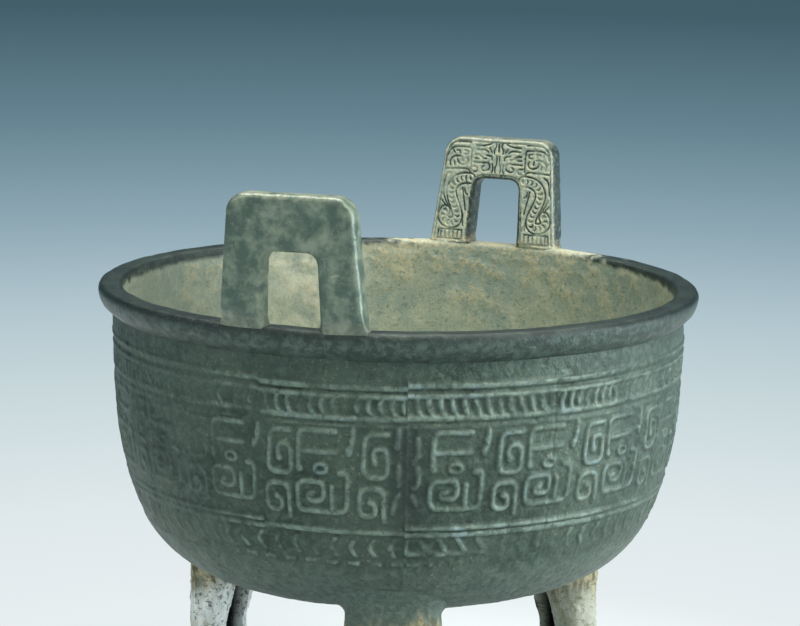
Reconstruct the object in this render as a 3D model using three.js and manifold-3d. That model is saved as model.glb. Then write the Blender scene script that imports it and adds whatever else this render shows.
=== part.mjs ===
// Bronze ding: a round-bellied tripod vessel, cast in one piece, with two
// upright loop handles on the rim and three channelled legs ending in hooves.
// Millimetres, +Z up. The vessel's axis is the Z axis, the feet stand on z = 0,
// and one leg points to -Y.
import * as THREE from 'three';
import { mergeVertices } from 'three/addons/utils/BufferGeometryUtils.js';
import Module from 'manifold-3d';

// ---------------------------------------------------------------- sizes
const RIM_RADIUS = 110;
const RIM_HEIGHT = 187;          // rim's flat top above the floor
const RIM_WIDTH = 9;             // flat top, measured radially
const LIP_DEPTH = 10.8;          // the outward-turned lip
const BELLY_RADIUS = 104.5;      // just under the lip
const BELLY_DEPTH = 108.6;       // rim top to the outside of the bottom
const BELLY_ROUND = { across: 5.3, down: 3.27 };   // superellipse powers
const WALL = 3.4;

const SECTIONS = 3;              // mould sections, one seam near each leg
const SECTION = 360 / SECTIONS;
const FIRST_SEAM = 272;          // degrees round the axis, from +X
const FIGURE = 12.3, SPIRAL = 6.7;          // columns of the main run, degrees
const SHORT_FIGURE = 12, SHORT_SPIRAL = 6.4;
const FRAGMENT = 3.4;            // cut column that starts a section
const LONG_RUN_UNITS = 4;

// Heights on the belly are drops below the rim's top.
const LINE = { half: 1.25, height: 1.2 };   // a cast line of the ornament
const STEP = { across: 2.0, down: 3.3 };    // spacing of the lines: degrees, mm
const BAND = { top: 30.8, line: 33, bottom: 68.3 };    // main band, its top line
const SHORT_RUN_DROP = 2;        // the short run sits a little lower
const CORDONS = [19.2, 22.4, 29.6, 69.4, 83.2];   // raised lines
const CORDON = { half: 1.1, height: 0.9 };
const ROPE = { top: 23.6, bottom: 28.4, low: 0, high: 1, lean: 0.6, pitch: 3.6 };
const CHEVRON = { top: 71.4, bottom: 81.2, low: 0, high: 0.9, lean: 2.2, pitch: 5 };
const HOLLOW_FACETS = 36;

const PLATE = { thick: 9.3, inner: 100.4, corner: 7, edge: 1.1, root: 4 };
const HANDLES = [
  { place: 68.5, facing: 66.7, foot: 52.3, top: 43.2, height: 41.7, lean: 8.7 },
  { place: 250.7, facing: 254, foot: 51, top: 43.2, height: 45, lean: 4.6 },
];
const OPENING = { foot: 21.6, top: 19.6, height: 26, corner: 3 };
const FACE_LINE = { half: 1.5, height: 0.8, sink: 0.5 };

const LEG_DIRECTIONS = [270, 30, 150];
const LEG_OUTER = 86.2;          // outer face, from the axis
const SLOT = { width: 12, depth: 10.5, top: 82, bottom: 26 };

// ------------------------------------------------------------- geometry
const rad = THREE.MathUtils.degToRad;
const lerp = THREE.MathUtils.lerp;
const wasm = await Module();
wasm.setup();

function solid(positions, triangles) {
  return new wasm.Manifold(new wasm.Mesh({
    numProp: 3,
    vertProperties: new Float32Array(positions.flat()),
    triVerts: new Uint32Array(triangles.flat()),
  }));
}

function solidOf(geometry) {
  geometry.deleteAttribute('normal');
  geometry.deleteAttribute('uv');
  const merged = mergeVertices(geometry, 1e-4);
  return new wasm.Manifold(new wasm.Mesh({
    numProp: 3,
    vertProperties: new Float32Array(merged.attributes.position.array),
    triVerts: new Uint32Array(merged.index.array),
  }));
}

function geometryOf(manifold) {
  const mesh = manifold.getMesh();
  const geometry = new THREE.BufferGeometry();
  geometry.setAttribute('position', new THREE.BufferAttribute(mesh.vertProperties, 3));
  geometry.setIndex(new THREE.BufferAttribute(mesh.triVerts, 1));
  geometry.computeVertexNormals();
  return geometry;
}

// Rings of equal point count, joined side to side and closed at both ends.
function loft(rings) {
  const n = rings[0].length, triangles = [];
  for (let k = 0; k + 1 < rings.length; k++) {
    for (let i = 0; i < n; i++) {
      const a = k * n + i, b = k * n + (i + 1) % n;
      triangles.push([a, b, b + n], [a, b + n, a + n]);
    }
  }
  const last = (rings.length - 1) * n;
  for (let i = 1; i + 1 < n; i++) {
    triangles.push([0, i + 1, i], [last, last + i, last + i + 1]);
  }
  return solid(rings.flat(), triangles);
}

// --------------------------------------------------- layout of the ornament
// Columns of one mould section, each { kind, start, width, run }.
function sectionColumns(seam) {
  const columns = [];
  let at = seam;
  const add = (kind, width, run) => {
    columns.push({ kind, start: at, width, run });
    at += width;
  };
  add('fragmentEnd', FRAGMENT, 'long');
  for (let i = 0; i < LONG_RUN_UNITS; i++) {
    add('figure', FIGURE, 'long');
    add('spiral', SPIRAL, 'long');
  }
  add('figure', FIGURE, 'long');
  add('spiral', SHORT_SPIRAL, 'short');
  add('figure', SHORT_FIGURE, 'short');
  add('spiral', SHORT_SPIRAL, 'short');
  add('fragmentStart', seam + SECTION - at, 'short');
  return columns;
}

const COLUMNS = [];
for (let i = 0; i < SECTIONS; i++) COLUMNS.push(...sectionColumns(FIRST_SEAM + i * SECTION));

// The belly is built of flat facets whose edges fall between the columns and
// down the middle of each wide one.
const FACETS = [];
for (const column of COLUMNS) {
  FACETS.push(column.start);
  if (column.kind === 'figure') FACETS.push(column.start + column.width / 2);
}
FACETS.push(FIRST_SEAM + 360);

// Ornament paths in steps from a column's top left corner: [across, down].
const MOTIFS = {
  figure: [
    [[4.1, 0], [0.5, 0], [0.5, 4.4]],
    [[0.9, 2.2], [4.1, 2.2]],
    [[2.2, 4.2], [3.9, 4.2]],
    [[5.65, 0], [5.65, 3.0], [4.7, 3.0]],
    [[4.6, 4.6], [5.65, 4.6], [5.65, 8.5], [0.5, 8.5], [0.5, 5.7], [3.4, 5.7], [3.4, 7.4], [1.6, 7.4]],
  ],
  spiral: [
    [[2.9, 0], [0.5, 0], [0.5, 4.5], [2.8, 4.5], [2.8, 1.5], [1.65, 1.5], [1.65, 3.2]],
    [[2.8, 9.3], [2.8, 5.8], [0.5, 5.8], [0.5, 8.5], [1.75, 8.5], [1.75, 7.2]],
  ],
  fragmentEnd: [
    [[1.0, 0.2], [1.0, 3.6]],
    [[0.7, 4.8], [1.1, 6.4], [0.7, 8.6]],
  ],
  fragmentStart: [
    [[0.7, 0.1], [0.7, 2.0]],
    [[0.8, 3.4], [0.8, 5.2]],
    [[0.7, 6.6], [0.7, 8.6]],
  ],
};

// --------------------------------------------------------------- the bowl
function bellyRadius(drop) {
  const t = Math.min(drop / BELLY_DEPTH, 1);
  return BELLY_RADIUS * (1 - t ** BELLY_ROUND.down) ** (1 / BELLY_ROUND.across);
}

function bellyDrop(radius) {
  const s = radius / BELLY_RADIUS;
  return BELLY_DEPTH * (1 - s ** BELLY_ROUND.across) ** (1 / BELLY_ROUND.down);
}

function around(radius, azimuth, drop) {
  return [radius * Math.cos(rad(azimuth)), radius * Math.sin(rad(azimuth)), RIM_HEIGHT - drop];
}

// A skin of triangles that grows ring by ring, from the rim down.
class Skin {
  points = [];
  triangles = [];

  vertex(radius, azimuth, drop) {
    return this.points.push(around(radius, azimuth, drop)) - 1;
  }

  ring(azimuths, radius, drop) {
    return azimuths.map((azimuth) => ({ azimuth, index: this.vertex(radius, azimuth, drop) }));
  }

  face(a, b, c) {
    this.triangles.push([a, b, c]);
  }

  // Joins an upper ring to a lower one; their point counts may differ.
  zip(upper, lower) {
    const end = upper[0].azimuth + 360;
    const azimuthAt = (ring, i) => (i < ring.length ? ring[i].azimuth : ring[i - ring.length].azimuth + 360);
    const indexAt = (ring, i) => ring[i % ring.length].index;
    let i = 0, j = 0;
    while (i < upper.length || j < lower.length) {
      const moveLower = i === upper.length
        || (j < lower.length && azimuthAt(lower, j + 1) <= azimuthAt(upper, i + 1) && azimuthAt(lower, j + 1) <= end + 1e-6);
      if (moveLower) this.face(indexAt(upper, i), indexAt(lower, j), indexAt(lower, ++j));
      else this.face(indexAt(upper, i), indexAt(lower, j), indexAt(upper, ++i));
    }
  }

  cap(ring, drop, up) {
    const centre = this.vertex(0, 0, drop);
    ring.forEach(({ index }, i) => {
      const next = ring[(i + 1) % ring.length].index;
      if (up) this.face(centre, index, next);
      else this.face(centre, next, index);
    });
  }
}

// ------------------------------------------------ lines cast on the belly
const DEGREE = rad(1) * BELLY_RADIUS;      // mm round the belly in a degree

// Edges and crest of a ridge along a path in a flat chart, ends sloped down.
function ridgeLines(path, half) {
  const direction = (p, q) => {
    const length = Math.hypot(q[0] - p[0], q[1] - p[1]);
    return [(q[0] - p[0]) / length, (q[1] - p[1]) / length];
  };
  const last = path.length - 1, left = [], right = [], crest = [];
  path.forEach((point, i) => {
    const before = direction(path[Math.max(i - 1, 0)], path[Math.max(i, 1)]);
    const after = direction(path[Math.min(i, last - 1)], path[Math.min(i + 1, last)]);
    let nx = -(before[1] + after[1]), ny = before[0] + after[0];
    const length = Math.hypot(nx, ny);
    nx /= length; ny /= length;
    const reach = half / Math.max(-nx * before[1] + ny * before[0], 0.6);
    left.push([point[0] + nx * reach, point[1] + ny * reach]);
    right.push([point[0] - nx * reach, point[1] - ny * reach]);
    const pull = (i === 0 ? half * 0.7 : 0) - (i === last ? half * 0.7 : 0);
    crest.push([point[0] + after[0] * pull, point[1] + after[1] * pull]);
  });
  return { left, right, crest };
}

// One column of the main band: the ground between two rings, with its ridges.
function bandColumn(skin, column, upper, lower) {
  const chart = (azimuth, drop) => new THREE.Vector2((azimuth - column.start) * DEGREE, -drop);
  const inColumn = (ring) => ring.filter(({ azimuth }) => azimuth >= column.start - 1e-6
    && azimuth <= column.start + column.width + 1e-6);
  const top = inColumn(upper), bottom = inColumn(lower);
  const contour = [...bottom.map((p) => chart(p.azimuth, BAND.bottom)), ...top.map((p) => chart(p.azimuth, BAND.top)).reverse()];
  const indices = [...bottom.map((p) => p.index), ...top.map((p) => p.index).reverse()];
  const holes = [];
  const onWall = ([x, y], raise) => skin.vertex(bellyRadius(-y) + raise, column.start + x / DEGREE, -y);
  for (const path of MOTIFS[column.kind]) {
    const shift = column.run === 'short' ? SHORT_RUN_DROP : 0;
    const { left, right, crest } = ridgeLines(path.map(([across, down]) => [
      across * STEP.across * DEGREE, -(BAND.line + down * STEP.down + shift)]), LINE.half);
    const l = left.map((p) => onWall(p, 0)), r = right.map((p) => onWall(p, 0));
    const c = crest.map((p) => onWall(p, LINE.height));
    const n = l.length - 1;
    for (let i = 0; i < n; i++) {
      skin.face(r[i], r[i + 1], c[i + 1]);
      skin.face(r[i], c[i + 1], c[i]);
      skin.face(c[i], c[i + 1], l[i + 1]);
      skin.face(c[i], l[i + 1], l[i]);
    }
    skin.face(l[0], r[0], c[0]);
    skin.face(r[n], l[n], c[n]);
    holes.push([...right, ...left.slice().reverse()].map(([x, y]) => new THREE.Vector2(x, y)));
    indices.push(...r, ...l.slice().reverse());
  }
  const flat = [...contour, ...holes.flat()];
  for (const [a, b, c] of THREE.ShapeUtils.triangulateShape(contour, holes)) {
    const turn = (flat[b].x - flat[a].x) * (flat[c].y - flat[a].y) - (flat[c].x - flat[a].x) * (flat[b].y - flat[a].y);
    if (turn > 0) skin.face(indices[a], indices[b], indices[c]);
    else skin.face(indices[a], indices[c], indices[b]);
  }
}

// The strokes lean one way along the long run and the other along the short one.
function leanAt(azimuth) {
  const turn = ((azimuth - FIRST_SEAM) % SECTION + SECTION) % SECTION;
  const longRun = FRAGMENT + LONG_RUN_UNITS * (FIGURE + SPIRAL) + FIGURE;
  return turn < longRun ? 1 : -1;
}

// A belt of short strokes: rings whose points go in and out by turns.
function strokeBelt(skin, above, belt, rows) {
  const count = 2 * Math.round(360 / belt.pitch);
  let last = above;
  for (const [share, lean] of rows) {
    const drop = lerp(belt.top, belt.bottom, share);
    const row = Array.from({ length: count }, (_, i) => {
      const azimuth = FIRST_SEAM + i * 360 / count;
      const raise = i % 2 ? belt.low : belt.high;
      return { azimuth, index: skin.vertex(bellyRadius(drop) + raise, azimuth + lean * leanAt(azimuth), drop) };
    });
    skin.zip(last, row);
    last = row;
  }
  return last;
}

function outside() {
  const skin = new Skin();
  const edges = FACETS.slice(0, -1);
  const plain = (above, levels) => levels.reduce((last, [radius, drop]) => {
    const ring = skin.ring(edges, radius, drop);
    skin.zip(last, ring);
    return ring;
  }, above);
  const wall = (drop, raise = 0) => [bellyRadius(drop) + raise, drop];
  const crest = (drop) => wall(drop, CORDON.height);
  const [neckTop, neckBottom, ropeEnd, bandEnd, foot] = CORDONS;

  const rim = skin.ring(edges, RIM_RADIUS - 1.2, 0);
  skin.cap(rim, 0, true);
  let last = plain(rim, [
    [RIM_RADIUS, 2.2], [RIM_RADIUS - 1.6, 7.4], [BELLY_RADIUS, LIP_DEPTH],
    wall(neckTop - CORDON.half), crest(neckTop), wall((neckTop + neckBottom) / 2), crest(neckBottom),
  ]);
  last = strokeBelt(skin, last, ROPE, [[0, ROPE.lean], [1, -ROPE.lean]]);
  const bandTop = plain(last, [crest(ropeEnd), wall(BAND.top)]);
  const bandBottom = skin.ring(edges, ...wall(BAND.bottom));
  const closed = (ring) => [...ring, { azimuth: ring[0].azimuth + 360, index: ring[0].index }];
  for (const column of COLUMNS) bandColumn(skin, column, closed(bandTop), closed(bandBottom));
  last = plain(bandBottom, [crest(bandEnd)]);
  last = strokeBelt(skin, last, CHEVRON, [[0, CHEVRON.lean / 2], [0.5, -CHEVRON.lean / 2], [1, CHEVRON.lean / 2]]);
  last = plain(last, [crest(foot), wall(foot + CORDON.half)]);
  last = plain(last, [88, 74, 47].map((radius) => [radius, bellyDrop(radius)]));
  skin.cap(last, BELLY_DEPTH, false);
  return solid(skin.points, skin.triangles);
}

function hollow() {
  const skin = new Skin();
  const azimuths = Array.from({ length: HOLLOW_FACETS }, (_, i) => FIRST_SEAM + i * 360 / HOLLOW_FACETS);
  const mouth = RIM_RADIUS - RIM_WIDTH;
  const top = skin.ring(azimuths, mouth, -5);
  skin.cap(top, -5, true);
  let last = skin.ring(azimuths, mouth, 8);
  skin.zip(top, last);
  for (const outer of [40, 66, 84, 97]) {
    // the wall is measured square to the outside
    const step = 0.5, slope = (bellyRadius(outer + step) - bellyRadius(outer - step)) / (2 * step);
    const square = Math.hypot(1, slope);
    const ring = skin.ring(azimuths, bellyRadius(outer) - WALL / square, outer + WALL * slope / square);
    skin.zip(last, ring);
    last = ring;
  }
  const flat = skin.ring(azimuths, 52, bellyDrop(52) - WALL);
  skin.zip(last, flat);
  skin.cap(flat, BELLY_DEPTH - WALL, false);
  return solid(skin.points, skin.triangles);
}

// ------------------------------------------------------------- the handles
function plateOutline({ foot, top, height }) {
  const shape = new THREE.Shape();
  const edge = PLATE.edge, below = -PLATE.root;
  const slope = (foot - top) / 2 / height, c = PLATE.corner;
  const halfAt = (z) => foot / 2 - slope * z - edge;
  const openAt = (z) => lerp(OPENING.foot, OPENING.top, z / OPENING.height) / 2 + edge;
  const crown = height - edge, sill = OPENING.height + edge, k = OPENING.corner;
  shape.moveTo(-halfAt(below), below);
  shape.lineTo(-openAt(below), below);
  shape.lineTo(-openAt(sill - k), sill - k);
  shape.quadraticCurveTo(-openAt(sill), sill, -openAt(sill) + k, sill);
  shape.lineTo(openAt(sill) - k, sill);
  shape.quadraticCurveTo(openAt(sill), sill, openAt(sill - k), sill - k);
  shape.lineTo(openAt(below), below);
  shape.lineTo(halfAt(below), below);
  shape.lineTo(halfAt(crown - c), crown - c);
  shape.quadraticCurveTo(halfAt(crown), crown, halfAt(crown) - c, crown);
  shape.lineTo(-halfAt(crown) + c, crown);
  shape.quadraticCurveTo(-halfAt(crown), crown, -halfAt(crown - c), crown - c);
  return shape;
}

// Ornament of the face that looks into the bowl, one half; the other mirrors it.
// [from the middle, above the rim], in mm.
const FACE_PATHS = [
  [[1.6, 38], [1.6, 29.5]],
  [[4, 38], [9.5, 38], [9.5, 33.5], [5, 33.5]],
  [[4, 30], [9.5, 30.2]],
  [[12.5, 38.5], [18, 37.5], [18.6, 32.5], [13.5, 33]],
  [[12.5, 29.6], [19.5, 29]],
  [[14.8, 26.2], [18.6, 24.6], [20.2, 21], [16.6, 15.6], [14.6, 11.8], [17, 8.4], [21.6, 8.6]],
  [[20.6, 16.4], [21.4, 12.2]],
  [[13.4, 19.5], [13.2, 15.8]],
  [[14.2, 4.4], [21.8, 4.4]],
];

// A ridge that stands on a plane: its edges go below the plane, so it joins a solid.
function flatRidge(path, line) {
  const { left, right, crest } = ridgeLines(path, line.half);
  const rings = left.map((_, i) => [[...left[i], line.sink], [...crest[i], -line.height], [...right[i], line.sink]]);
  const made = loft(rings);
  return made.volume() > 0 ? made : loft(rings.map((ring) => ring.slice().reverse()));
}

function handle(spec) {
  const body = new THREE.ExtrudeGeometry(plateOutline(spec), {
    depth: PLATE.thick - 2 * PLATE.edge, curveSegments: 2,
    bevelEnabled: true, bevelThickness: PLATE.edge, bevelSize: PLATE.edge, bevelSegments: 1,
  });
  body.translate(0, 0, PLATE.edge);
  // the plate's face looks along -Z of the extrusion; stand it up facing the axis
  const parts = [solidOf(body)];
  for (const path of FACE_PATHS) {
    for (const side of [1, -1]) {
      parts.push(flatRidge(path.map(([x, y]) => [x * side, y]), FACE_LINE));
    }
  }
  const plate = wasm.Manifold.union(parts);
  const outward = new THREE.Vector3(Math.cos(rad(spec.facing)), Math.sin(rad(spec.facing)), 0);
  const across = new THREE.Vector3(-outward.y, outward.x, 0);
  const up = new THREE.Vector3(0, 0, 1).addScaledVector(outward, Math.tan(rad(spec.lean)));
  const seat = new THREE.Vector3(
    PLATE.inner * Math.cos(rad(spec.place)), PLATE.inner * Math.sin(rad(spec.place)), RIM_HEIGHT);
  const place = new THREE.Matrix4().makeBasis(across.negate(), up, outward).setPosition(seat);
  return plate.transform(place.elements);
}

// ---------------------------------------------------------------- the legs
// Height, width across, inner face's distance from the axis, and how far the
// outer face stands out from the straight line of the leg.
const LEG_STATIONS = [
  { z: 0, width: 30, inner: 62.5, out: 2.6 },
  { z: 3, width: 32, inner: 61.6, out: 3.6 },
  { z: 10, width: 30.5, inner: 63.5, out: 2.6 },
  { z: 17, width: 25.5, inner: 67, out: -0.6 },
  { z: 28, width: 24, inner: 70, out: -1.4 },
  { z: 46, width: 27.4, inner: 71.6, out: 0 },
  { z: 62, width: 30, inner: 68.9, out: 0 },
  { z: 80, width: 32.6, inner: 66, out: 0 },
  { z: 96, width: 36, inner: 62, out: 0.4 },
];

function legRing({ z, width, inner, out }) {
  const outer = LEG_OUTER + out, half = width / 2;
  const shoulder = inner + 4, points = [[inner, -half * 0.92], [inner, half * 0.92]];
  const arc = 7;
  for (let i = 0; i <= arc; i++) {
    const turn = Math.PI * (0.5 - i / arc);
    points.push([shoulder + (outer - shoulder) * Math.cos(turn), half * Math.sin(turn)]);
  }
  return points.reverse().map(([x, y]) => [x, y, z]);
}

function channel() {
  const shape = new THREE.Shape();
  const half = SLOT.width / 2;
  shape.moveTo(-half, SLOT.bottom + 3);
  shape.quadraticCurveTo(-half, SLOT.bottom, 0, SLOT.bottom);
  shape.quadraticCurveTo(half, SLOT.bottom, half, SLOT.bottom + 3);
  shape.lineTo(half, SLOT.top - half);
  shape.absarc(0, SLOT.top - half, half, 0, Math.PI);
  const cut = new THREE.ExtrudeGeometry(shape, { depth: 40, bevelEnabled: false, curveSegments: 3 });
  cut.rotateX(Math.PI / 2).rotateZ(Math.PI / 2);
  return solidOf(cut);
}

function leg(direction) {
  let body = loft(LEG_STATIONS.map(legRing));
  if (body.volume() < 0) body = loft(LEG_STATIONS.map((station) => legRing(station).reverse()));
  const floorOfSlot = 71.6 + SLOT.depth;
  body = body.subtract(channel().translate([floorOfSlot - 40, 0, 0]));
  return body.rotate([0, 0, direction]);
}

// ------------------------------------------------------------- one casting
const legs = LEG_DIRECTIONS.map(leg);
const shell = wasm.Manifold.union([outside(), ...legs]).subtract(hollow());
const vessel = wasm.Manifold.union([shell, ...HANDLES.map(handle)]);

const bronze = new THREE.MeshStandardMaterial({ color: 0x56645a, roughness: 0.55, metalness: 0.6 });
const ding = new THREE.Group();
ding.name = 'bronze_ding';
const vesselMesh = new THREE.Mesh(geometryOf(vessel), bronze);
vesselMesh.name = 'ding_vessel';
ding.add(vesselMesh);

export default ding;
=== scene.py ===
"""Bronze ding: a round-bellied tripod vessel, cast in piece moulds and long buried.

Sizes are in millimetres and degrees, as on a founder's drawing, and turn to metres where a
mesh is written. Heights on the belly are drops below the rim's flat top. Azimuths turn from
the right-hand side toward the back.
"""
import math
from types import SimpleNamespace

import bmesh
import bpy
import numpy as np
from mathutils import Matrix, Vector, noise


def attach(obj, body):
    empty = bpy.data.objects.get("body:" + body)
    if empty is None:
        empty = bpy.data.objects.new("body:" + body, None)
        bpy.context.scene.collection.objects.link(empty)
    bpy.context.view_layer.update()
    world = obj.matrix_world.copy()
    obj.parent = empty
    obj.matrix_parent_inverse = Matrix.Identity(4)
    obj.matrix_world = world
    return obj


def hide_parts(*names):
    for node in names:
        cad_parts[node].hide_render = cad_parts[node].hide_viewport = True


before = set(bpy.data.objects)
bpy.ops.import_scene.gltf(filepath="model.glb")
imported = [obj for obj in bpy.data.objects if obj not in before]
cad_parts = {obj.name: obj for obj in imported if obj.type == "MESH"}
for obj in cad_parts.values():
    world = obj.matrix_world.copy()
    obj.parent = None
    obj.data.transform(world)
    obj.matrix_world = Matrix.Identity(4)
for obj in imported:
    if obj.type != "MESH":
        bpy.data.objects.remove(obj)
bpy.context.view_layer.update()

MM = 0.001

# ------------------------------------------------------------------ sizes of the casting
RIM_RADIUS = 110
RIM_HEIGHT = 187
RIM_WIDTH = 9
BELLY_RADIUS = 104.5
BELLY_DEPTH = 108.6
# powers of the belly's rounded outline, across and down
BELLY_ROUND_ACROSS, BELLY_ROUND_DOWN = 5.3, 3.27
WALL = 3.4
BOTTOM_DISC = 38                   # radius where the mould sections end
DEGREE = math.radians(1) * BELLY_RADIUS

SEAMS = [272, 32, 152]             # the mould sections meet here
SECTION = 120
BLOCK_JOINTS = [29, 60, 91.5]      # degrees after a seam, where pattern blocks meet

# columns of the main band, in degrees
FIGURE, SPIRAL = 12.3, 6.7
SHORT_FIGURE, SHORT_SPIRAL = 12, 6.4
FRAGMENT = 3.4
LONG_RUN_UNITS = 4
SHORT_RUN_STRETCH = 1.07
BAND_TOP, BAND_FROM, BAND_TO = 33, 30, 68
STEP_ACROSS, STEP_DOWN = 2.0, 3.3  # one step of a path, in degrees and mm

LINE_WIDTH, LINE_HEIGHT, CORNER_REACH = 2.7, 1.15, 3.0

PLATE_THICK, PLATE_INNER, PLATE_CORNER, PLATE_ROOT = 9.3, 100.4, 7, 4
FAR_HANDLE = dict(place=68.5, facing=66.7, foot=53.8, top=45.2, height=41.7, lean=8.2)
NEAR_HANDLE = dict(place=250.7, facing=254, foot=51, top=43.2, height=45, lean=4.6)
OPENING = dict(foot=20.4, top=18.4, height=25.6, corner=4.2)

# direction in degrees, how far the open channel sits off the leg's middle, and how much painted shade darkens its
# scale
LEGS = {"front_leg": (270, 0, 0.2), "right_leg": (30, 4.8, 0.72), "left_leg": (150, -1.2, 0.0)}
LEG_TOP = 96                       # nominal height where a leg meets the belly
LEG_OUTER = 86.2
LEG_CENTRE, LEG_TOP_CENTRE = 74, 73
LEG_SQUARENESS = 3.2               # power of the section's rounded rectangle
LEG_CROWDING = 0.92                # below 1 the rows crowd toward the top
LEG_TOP_SHARE = 0.95               # beyond this share of its rows a leg closes over
FLARE = 4.5
CHANNEL = dict(width=12, floor=81.7, bottom=26, fading=86, end=93)
# height, width across, inner face from the axis, how far the outer face stands out
LEG_STATIONS = [
    (0, 30, 62.5, 2.6), (3, 32, 61.6, 3.6), (10, 30.5, 63.5, 2.6), (17, 25.5, 67, -0.6),
    (28, 24, 70, -1.4), (46, 27.8, 71.2, -0.2), (62, 30.8, 67.6, -0.9), (80, 33.8, 64.4, -1.3),
    (LEG_TOP, 34.8, 61.4, -1.2),
]

# how finely each piece is divided
SECTION_COLUMNS, SECTION_ROWS, SECTION_CUTS, SECTION_BACK_CUTS = 26, 11, 15, 9
BOWL_COLUMNS, BOWL_ROWS = 480, 190
HANDLE_FACE_CELLS, HANDLE_CORNER_CELLS, HANDLE_ALONG = (56, 8, 22, 8), 5, 460
LEG_AROUND, LEG_ALONG = 150, 170


# ------------------------------------------------------------------ small mathematics
def smooth(low, high, value):
    """0 below low and 1 above high, eased between."""
    t = np.clip((value - low) / (high - low), 0, 1)
    return t * t * (3 - 2 * t)


def plateau(start, full, fading, end, value):
    """1 from full to fading, easing to 0 at start and at end."""
    return smooth(start, full, value) * (1 - smooth(fading, end, value))


def bump_at(value, centre, half):
    """1 on a line, falling softly to 0 at half its width."""
    return 1 - smooth(0.2 * half, 1.15 * half, np.abs(value - centre))


def beside(azimuth, centre, spread):
    """1 at an azimuth, fading over a spread of degrees to either side."""
    return np.exp(-((azimuth - centre) / spread) ** 2)


def from_whole(value):
    """How far each value is from its nearest whole number."""
    return np.abs(value - np.round(value))


def grain(points, size, octaves=3):
    """Fractal noise, about -1 to 1, with lumps of the given size in mm."""
    gap, roughness = 2.1, 0.7
    scaled = (np.asarray(points) / size).tolist()
    return np.array([noise.fractal(point, roughness, gap, octaves) for point in scaled])


def rounded(path, reach):
    """A path whose corners are rounded off within the given reach of each corner."""
    points = np.array(path, float)
    curved = [points[0]]
    for before, corner, after in zip(points[:-2], points[1:-1], points[2:]):
        back, on = before - corner, after - corner
        start = corner + back * min(reach / np.hypot(*back), 0.5)
        end = corner + on * min(reach / np.hypot(*on), 0.5)
        for t in (0, 0.25, 0.5, 0.75, 1):
            curved.append((1 - t) ** 2 * start + 2 * t * (1 - t) * corner + t * t * end)
    curved.append(points[-1])
    return np.array(curved)


def along_path(x, y, path):
    """For each point: its distance to the path, and how far along the path that is."""
    nearest = np.full(x.shape, np.inf)
    travelled = np.zeros(x.shape)
    so_far = 0.0
    for (x0, y0), (x1, y1) in zip(path[:-1], path[1:]):
        dx, dy = x1 - x0, y1 - y0
        length = math.hypot(dx, dy)
        if length < 1e-9:
            continue
        t = np.clip(((x - x0) * dx + (y - y0) * dy) / length ** 2, 0, 1)
        distance = np.hypot(x - x0 - t * dx, y - y0 - t * dy)
        closer = distance < nearest
        nearest = np.where(closer, distance, nearest)
        travelled = np.where(closer, so_far + t * length, travelled)
        so_far += length
    return nearest, travelled


def belly_outline():
    """The belly's outside from rim height to the pole: arc length, radius, drop."""
    steep_share, steep_steps, flat_steps = 0.86, 400, 500
    drop = np.linspace(0, steep_share, steep_steps) * BELLY_DEPTH
    across, down = BELLY_ROUND_ACROSS, BELLY_ROUND_DOWN
    radius = BELLY_RADIUS * (1 - (drop / BELLY_DEPTH) ** down) ** (1 / across)
    inner = np.linspace(radius[-1], 0, flat_steps)[1:]
    inner_drop = BELLY_DEPTH * (1 - (inner / BELLY_RADIUS) ** across) ** (1 / down)
    radius, drop = np.concatenate([radius, inner]), np.concatenate([drop, inner_drop])
    arc = np.concatenate([[0], np.cumsum(np.hypot(np.diff(radius), np.diff(drop)))])
    return arc, radius, drop


ARC, ARC_RADIUS, ARC_DROP = belly_outline()
ARC_OUT = np.gradient(ARC_DROP, ARC)        # outward normal, radial part
ARC_UP = np.gradient(ARC_RADIUS, ARC)       # outward normal, upward part


def arc_at_drop(drop):
    return np.interp(drop, ARC_DROP, ARC)


def arc_at_radius(radius):
    return np.interp(-np.asarray(radius), -ARC_RADIUS[1:], ARC[1:])


def belly_line(arc, raised):
    """Radius and height at these places down the belly, raised square to it, in mm."""
    radius = np.interp(arc, ARC, ARC_RADIUS) + raised * np.interp(arc, ARC, ARC_OUT)
    height = RIM_HEIGHT - np.interp(arc, ARC, ARC_DROP) + raised * np.interp(arc, ARC, ARC_UP)
    return radius, height


def on_belly(azimuth, arc, raised):
    """Points at these places on the belly, raised square to it, in mm."""
    radius, height = belly_line(arc, raised)
    turn = np.radians(azimuth)
    return np.stack([radius * np.cos(turn), radius * np.sin(turn), height], -1)


def on_drum(azimuth, drop):
    """Places on a plain drum, where the unevenness of mould and wear is looked up."""
    turn, drum_radius = np.radians(azimuth), 100
    return np.stack([np.cos(turn) * drum_radius, np.sin(turn) * drum_radius, drop], -1)


def dents(azimuth, drop):
    """The slow unevenness of a hand-made mould, in mm; the bowl and its sections share it."""
    depth, size = 0.35, 46
    return depth * grain(on_drum(azimuth, drop), size, 2)


# ------------------------------------------------------------------ meshes
def read_points(mesh):
    flat = np.empty(len(mesh.vertices) * 3)
    mesh.vertices.foreach_get("co", flat)
    return flat.reshape(-1, 3)


def write_points(mesh, points):
    mesh.vertices.foreach_set("co", (np.asarray(points) * MM).ravel())
    mesh.update()


def write_layers(mesh, **layers):
    """Writes one value a point for each layer that a finish is painted by."""
    for name, values in layers.items():
        made = mesh.attributes.new(name=name, type="FLOAT", domain="POINT")
        made.data.foreach_set("value", np.asarray(values, np.float32))


def sheet(columns, rows):
    """A flat sheet of cells, 0 to 1 each way."""
    bm = bmesh.new()
    bmesh.ops.create_grid(bm, x_segments=columns, y_segments=rows, size=0.5)
    bmesh.ops.translate(bm, verts=bm.verts, vec=(0.5, 0.5, 0))
    return bm


def sheet_mesh(bm, name):
    """Writes a bmesh sheet to a mesh whose points are then bent into a closed form."""
    mesh = bpy.data.meshes.new(name)
    bm.to_mesh(mesh)
    bm.free()
    return mesh


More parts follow.
